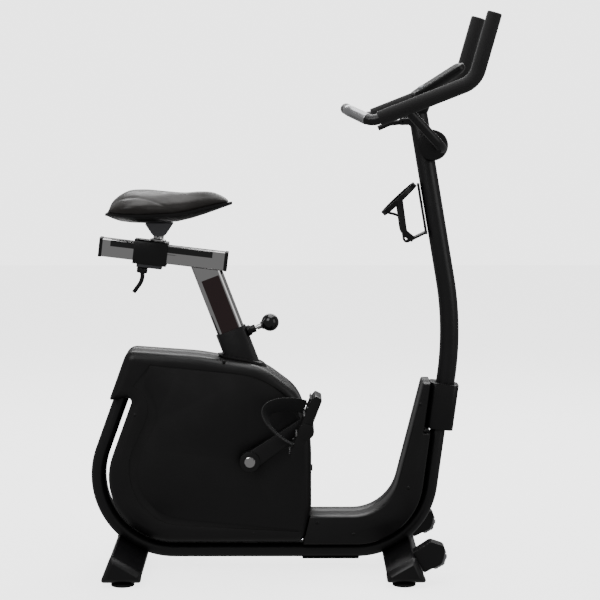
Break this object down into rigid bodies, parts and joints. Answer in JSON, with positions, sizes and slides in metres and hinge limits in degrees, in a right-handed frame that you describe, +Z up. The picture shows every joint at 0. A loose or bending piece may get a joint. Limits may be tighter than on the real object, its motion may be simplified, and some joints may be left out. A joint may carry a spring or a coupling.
{
  "type": "exercise bike",
  "caption": "Upright exercise bike: curved tube frame with a moulded drive housing, sliding padded saddle, strapped pedals, tilting handlebar with tall horns and a small console.",
  "frame": {"origin": "on the floor, in the middle of the bike's length and width", "axes": "+X forward from saddle to handlebar, +Y to the rider's left, +Z up"},
  "size_m": [0.9511, 0.504, 1.3135],
  "materials": {
    "frame_paint": "satin black powder coat",
    "moulded_black": "satin moulded black ABS",
    "gloss_black": "glossy black moulding",
    "black_rubber": "matt black rubber",
    "black_foam": "fine-celled black foam sleeve",
    "leatherette": "grained black leatherette",
    "chrome": "polished chrome plate",
    "steel": "turned steel",
    "grey_metal": "satin grey die casting",
    "tread_grey": "light grey moulded tread"
  },
  "bodies": {
    "base": {"frame_tube": "frame_paint", "inner_frame": "frame_paint", "front_stabilizer": "frame_paint", "rear_stabilizer": "frame_paint", "end_cap_front_right": "moulded_black", "end_cap_front_left": "moulded_black", "end_cap_rear_right": "moulded_black", "end_cap_rear_left": "moulded_black", "wheel_housing_right": "moulded_black", "wheel_housing_left": "moulded_black", "shroud_right": "moulded_black", "shroud_left": "moulded_black", "footwell_cover_right": "moulded_black", "footwell_cover_left": "moulded_black", "mast_sleeve": "moulded_black", "post_collar": "moulded_black", "plunger_housing": "grey_metal", "bearing_right": "steel", "bearing_left": "steel", "drive_belt": "black_rubber", "brake_servo": "moulded_black", "mast": "frame_paint", "bar_clamp": "moulded_black", "bottle_cage": "moulded_black", "console_case": "moulded_black", "console_face": "gloss_black", "power_jack": "moulded_black"},
    "crankset": {"crank_axle": "steel", "drive_pulley": "moulded_black", "crank_right": "frame_paint", "crank_left": "frame_paint"},
    "pedal_unit_right": {"pedal_right": "moulded_black", "strap_right": "black_rubber"},
    "pedal_unit_left": {"pedal_left": "moulded_black", "strap_left": "black_rubber"},
    "flywheel_unit": {"flywheel": "steel", "flywheel_axle": "steel"},
    "brake_arm": {"magnet_arm": "grey_metal"},
    "plunger": {"plunger_knob": "gloss_black"},
    "post_unit": {"seat_post": "chrome", "seat_rail": "chrome", "rail_cap_front": "moulded_black", "rail_cap_rear": "moulded_black"},
    "carriage_unit": {"seat_carriage": "moulded_black", "carriage_clamp": "grey_metal", "saddle_stem": "chrome"},
    "saddle": {"saddle_clamp": "grey_metal", "saddle_pan": "moulded_black", "saddle_pad": "leatherette"},
    "carriage_lever": {"clamp_lever": "gloss_black"},
    "bars": {"handlebar": "frame_paint", "grip_right": "black_foam", "grip_left": "black_foam"},
    "bar_lever": {"clamp_knob": "gloss_black"},
    "wheel_right": {"transport_wheel_right": "tread_grey"},
    "wheel_left": {"transport_wheel_left": "tread_grey"},
    "level_front_right": {"foot_front_right": "black_rubber"},
    "level_front_left": {"foot_front_left": "black_rubber"},
    "level_rear_right": {"foot_rear_right": "black_rubber"},
    "level_rear_left": {"foot_rear_left": "black_rubber"}
  },
  "joints": [
    {"name": "crank_spin", "type": "hinge", "parent": "base", "child": "crankset", "pos_m": [-0.095, 0, 0.266], "axis": [0, 1, 0], "continuous": true},
    {"name": "pedal_spin_right", "type": "hinge", "parent": "crankset", "child": "pedal_unit_right", "pos_m": [0.0367, -0.16, 0.35685], "axis": [0, 1, 0], "continuous": true},
    {"name": "pedal_spin_left", "type": "hinge", "parent": "crankset", "child": "pedal_unit_left", "pos_m": [-0.2267, 0.16, 0.17514], "axis": [0, 1, 0], "continuous": true},
    {"name": "flywheel_spin", "type": "hinge", "parent": "base", "child": "flywheel_unit", "pos_m": [-0.283, 0, 0.25], "axis": [0, 1, 0], "continuous": true},
    {"name": "magnet_swing", "type": "hinge", "parent": "base", "child": "brake_arm", "pos_m": [-0.198, 0, 0.14], "axis": [0, 1, 0], "range_deg": [-6, 0]},
    {"name": "post_slide", "type": "slide", "parent": "base", "child": "post_unit", "axis": [-0.3584, 0, 0.9336], "range_m": [-0.11, 0.06]},
    {"name": "plunger_pull", "type": "slide", "parent": "base", "child": "plunger", "axis": [0.9336, 0, 0.3584], "range_m": [0, 0.008], "stiffness_N_per_m": 600, "springref_m": -0.004},
    {"name": "carriage_slide", "type": "slide", "parent": "post_unit", "child": "carriage_unit", "axis": [0.993, 0, -0.1184], "range_m": [-0.07, 0.05]},
    {"name": "saddle_tilt", "type": "hinge", "parent": "carriage_unit", "child": "saddle", "pos_m": [-0.30914, 0, 0.80649], "axis": [0, 1, 0], "range_deg": [-8, 8]},
    {"name": "carriage_lever_turn", "type": "hinge", "parent": "carriage_unit", "child": "carriage_lever", "pos_m": [-0.35003, 0, 0.71691], "axis": [0.1184, 0, 0.993], "range_deg": [-45, 45]},
    {"name": "bar_tilt", "type": "hinge", "parent": "base", "child": "bars", "pos_m": [0.3485, 0, 1.002], "axis": [0, 1, 0], "range_deg": [-12, 20]},
    {"name": "bar_lever_swing", "type": "hinge", "parent": "base", "child": "bar_lever", "pos_m": [0.264, 0, 1.06], "axis": [0, 1, 0], "range_deg": [-75, 0]},
    {"name": "wheel_spin_right", "type": "hinge", "parent": "base", "child": "wheel_right", "pos_m": [0.332, -0.19, 0.063], "axis": [0, 1, 0], "continuous": true},
    {"name": "wheel_spin_left", "type": "hinge", "parent": "base", "child": "wheel_left", "pos_m": [0.332, 0.19, 0.063], "axis": [0, 1, 0], "continuous": true},
    {"name": "level_front_right_screw", "type": "slide", "parent": "base", "child": "level_front_right", "axis": [0, 0, -1], "range_m": [0, 0.01]},
    {"name": "level_front_left_screw", "type": "slide", "parent": "base", "child": "level_front_left", "axis": [0, 0, -1], "range_m": [0, 0.01]},
    {"name": "level_rear_right_screw", "type": "slide", "parent": "base", "child": "level_rear_right", "axis": [0, 0, -1], "range_m": [0, 0.01]},
    {"name": "level_rear_left_screw", "type": "slide", "parent": "base", "child": "level_rear_left", "axis": [0, 0, -1], "range_m": [0, 0.01]}
  ],
  "couplings": [
    {"joint": "flywheel_spin", "follows": "crank_spin", "ratio": 6.1111}
  ]
}
